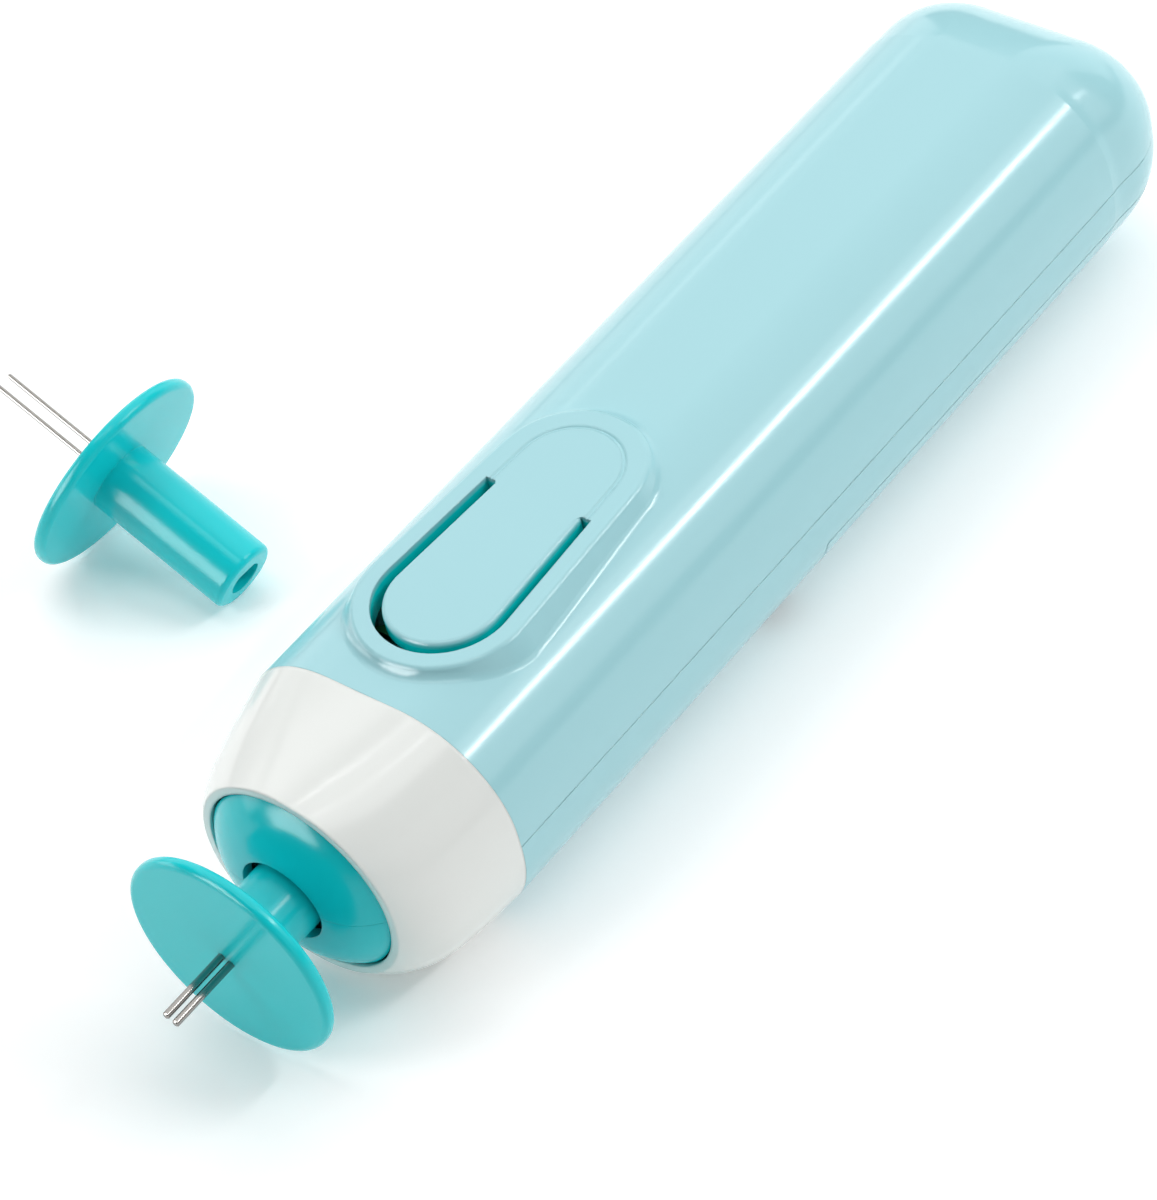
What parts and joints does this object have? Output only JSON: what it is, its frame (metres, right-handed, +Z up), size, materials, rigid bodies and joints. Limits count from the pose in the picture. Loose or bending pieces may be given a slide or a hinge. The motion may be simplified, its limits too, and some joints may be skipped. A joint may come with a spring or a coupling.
{
  "type": "electric quilling tool",
  "caption": "Pen-shaped battery quilling tool with a button on its raised pad, a slotted winding head on a geared motor, and a spare needle head beside it.",
  "frame": {"origin": "Middle of the flat rest face under the front of the lower housing, on the surface it lies on.", "axes": "+X along the tool towards the winding head, +Z up through the button, +Y completes a right-handed set; the spare head lies on the -Y side."},
  "size_m": [0.1558, 0.0897, 0.0284],
  "materials": {
    "body_shell": "pale aqua ABS, gloss moulded",
    "collar_shell": "white ABS, gloss moulded",
    "head_plastic": "teal plastic, slightly translucent gloss",
    "gear_plastic": "natural acetal, as moulded",
    "plate_plastic": "black nylon, fine matte",
    "spindle_steel": "ground steel",
    "pin_steel": "drawn stainless wire",
    "motor_steel": "zinc-plated pressed steel",
    "brass_parts": "turned brass",
    "board": "green solder mask over glass fibre",
    "switch_black": "black moulded nylon",
    "cell_jacket": "plain printed sleeve, gloss",
    "contact_plating": "nickel-plated spring steel"
  },
  "bodies": {
    "housing": {"upper_housing": "body_shell", "lower_housing": "body_shell", "collar": "collar_shell", "nose_insert_upper": "head_plastic", "nose_insert_lower": "head_plastic", "front_bush": "gear_plastic", "layshaft": "spindle_steel", "gearbox_front_plate": "plate_plastic", "gearbox_rear_plate": "plate_plastic", "gearbox_pillars": "spindle_steel", "motor_can": "motor_steel", "motor_end_cap": "plate_plastic", "motor_terminals": "brass_parts", "switch_board": "board", "board_screws": "spindle_steel", "switch_body": "switch_black", "battery_cell_1": "cell_jacket", "battery_cell_2": "cell_jacket", "positive_contact": "contact_plating", "negative_contact": "contact_plating", "bridge_contact": "contact_plating", "housing_screws": "spindle_steel", "spare_head_disc": "head_plastic", "spare_head_pins": "pin_steel"},
    "battery_cover": {"battery_cover": "body_shell"},
    "button_flap": {"button_flap": "body_shell"},
    "spindle": {"spindle": "spindle_steel", "output_gear": "gear_plastic"},
    "first_gear": {"first_gear": "gear_plastic"},
    "second_gear": {"second_gear": "gear_plastic"},
    "third_gear": {"third_gear": "gear_plastic"},
    "motor_rotor": {"motor_pinion": "brass_parts"},
    "switch_plunger": {"switch_plunger": "switch_black"},
    "head": {"head_disc": "head_plastic", "head_pins": "pin_steel"}
  },
  "joints": [
    {"name": "spindle_spin", "type": "hinge", "parent": "housing", "child": "spindle", "pos_m": [0.026, 0, 0.0137], "axis": [1, 0, 0], "continuous": true},
    {"name": "third_gear_spin", "type": "hinge", "parent": "housing", "child": "third_gear", "pos_m": [0.026, -0.0072, 0.0137], "axis": [1, 0, 0], "continuous": true},
    {"name": "second_gear_spin", "type": "hinge", "parent": "housing", "child": "second_gear", "pos_m": [0.026, 0, 0.0137], "axis": [1, 0, 0], "continuous": true},
    {"name": "first_gear_spin", "type": "hinge", "parent": "housing", "child": "first_gear", "pos_m": [0.026, -0.0072, 0.0137], "axis": [1, 0, 0], "continuous": true},
    {"name": "motor_spin", "type": "hinge", "parent": "housing", "child": "motor_rotor", "pos_m": [0.026, 0, 0.0137], "axis": [1, 0, 0], "continuous": true},
    {"name": "head_pull", "type": "slide", "parent": "spindle", "child": "head", "axis": [1, 0, 0], "range_m": [0, 0.015]},
    {"name": "button_press", "type": "hinge", "parent": "housing", "child": "button_flap", "pos_m": [-0.0029, 0, 0.0266], "axis": [0, 1, 0], "range_deg": [0, 2.2], "stiffness_Nm_per_rad": 0.7},
    {"name": "switch_plunge", "type": "slide", "parent": "housing", "child": "switch_plunger", "axis": [0, 0, -1], "range_m": [0, 0.0008]},
    {"name": "cover_slide", "type": "slide", "parent": "housing", "child": "battery_cover", "axis": [-1, 0, 0], "range_m": [0, 0.006]}
  ],
  "couplings": [
    {"joint": "third_gear_spin", "follows": "spindle_spin", "ratio": -2.6},
    {"joint": "second_gear_spin", "follows": "spindle_spin", "ratio": 6.76},
    {"joint": "first_gear_spin", "follows": "spindle_spin", "ratio": -17.576},
    {"joint": "motor_spin", "follows": "spindle_spin", "ratio": 45.698},
    {"joint": "switch_plunge", "follows": "button_press", "m_per_rad": 0.0129}
  ]
}
